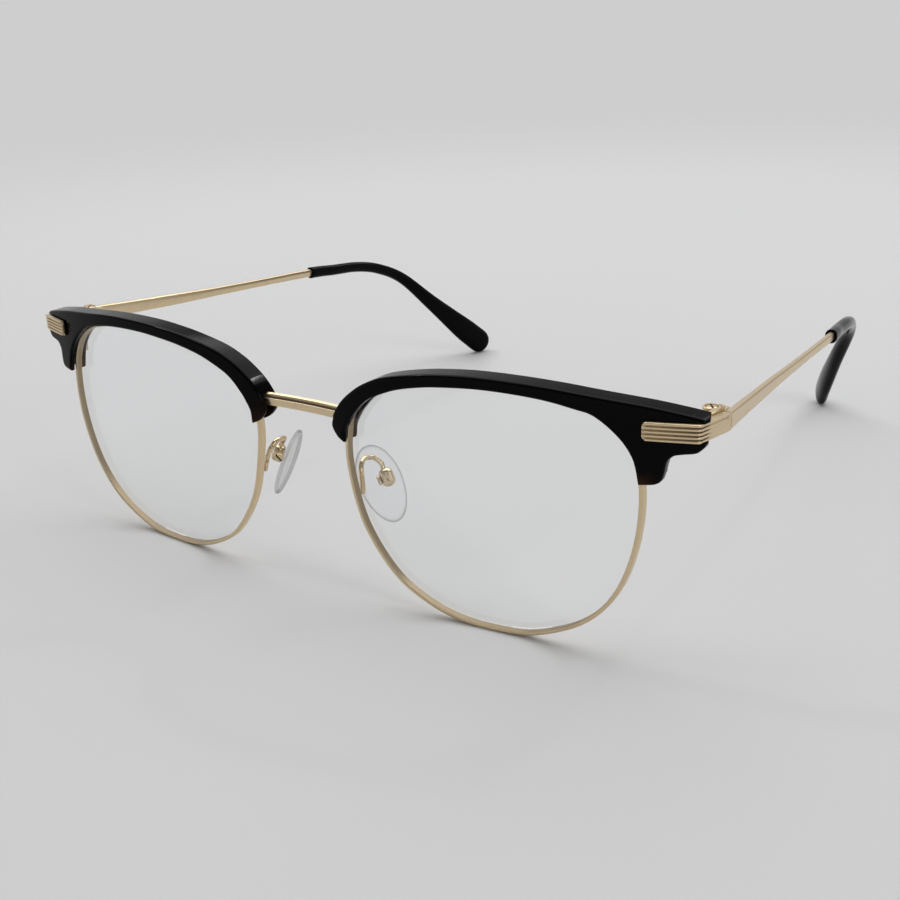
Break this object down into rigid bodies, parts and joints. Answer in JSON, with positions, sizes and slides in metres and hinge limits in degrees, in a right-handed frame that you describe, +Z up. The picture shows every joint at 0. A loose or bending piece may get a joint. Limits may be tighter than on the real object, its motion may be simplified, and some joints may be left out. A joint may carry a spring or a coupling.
{
  "type": "eyeglass frame",
  "caption": "Browline eyeglass frame with thin metal rims, black acetate brows, ribbed metal end pieces, folding slim temples with acetate tips, and rocking nose pads.",
  "frame": {"origin": "middle of the open frame's footprint, on the plane that its rims and tips rest on", "axes": "+X to the wearer's left, -Y to the front of the lenses, +Z up"},
  "size_m": [0.142, 0.1442, 0.0449],
  "materials": {
    "champagne_metal": "satin champagne gold plating",
    "black_acetate": "polished near-black acetate",
    "clear_lens": "clear polished lens",
    "clear_pad": "clear soft plastic"
  },
  "bodies": {
    "front": {"bridge": "champagne_metal", "left_rim": "champagne_metal", "left_lens": "clear_lens", "left_brow": "black_acetate", "left_brow_screw": "champagne_metal", "left_end_piece": "champagne_metal", "left_lock_lower": "champagne_metal", "left_lock_upper": "champagne_metal", "left_lock_screw": "champagne_metal", "left_hinge_front": "champagne_metal", "left_hinge_screw": "champagne_metal", "left_guard_arm": "champagne_metal", "left_pad_box": "champagne_metal", "left_pad_screw": "champagne_metal", "right_rim": "champagne_metal", "right_lens": "clear_lens", "right_brow": "black_acetate", "right_brow_screw": "champagne_metal", "right_end_piece": "champagne_metal", "right_lock_lower": "champagne_metal", "right_lock_upper": "champagne_metal", "right_lock_screw": "champagne_metal", "right_hinge_front": "champagne_metal", "right_hinge_screw": "champagne_metal", "right_guard_arm": "champagne_metal", "right_pad_box": "champagne_metal", "right_pad_screw": "champagne_metal"},
    "left_arm": {"left_hinge_rear": "champagne_metal", "left_temple": "champagne_metal", "left_temple_tip": "black_acetate"},
    "left_pad": {"left_nose_pad": "clear_pad"},
    "right_arm": {"right_hinge_rear": "champagne_metal", "right_temple": "champagne_metal", "right_temple_tip": "black_acetate"},
    "right_pad": {"right_nose_pad": "clear_pad"}
  },
  "joints": [
    {"name": "left_temple_fold", "type": "hinge", "parent": "front", "child": "left_arm", "pos_m": [0.068, -0.05576, 0.03889], "axis": [0, 0, 1], "range_deg": [0, 84]},
    {"name": "left_pad_rock", "type": "hinge", "parent": "front", "child": "left_pad", "pos_m": [0.01231, -0.06326, 0.02089], "axis": [0.6022, 0.749, 0.2763], "range_deg": [-8, 8]},
    {"name": "right_temple_fold", "type": "hinge", "parent": "front", "child": "right_arm", "pos_m": [-0.068, -0.05576, 0.03889], "axis": [0, 0, -1], "range_deg": [0, 81.5]},
    {"name": "right_pad_rock", "type": "hinge", "parent": "front", "child": "right_pad", "pos_m": [-0.01231, -0.06326, 0.02089], "axis": [0.6022, -0.749, -0.2763], "range_deg": [-8, 8]}
  ]
}
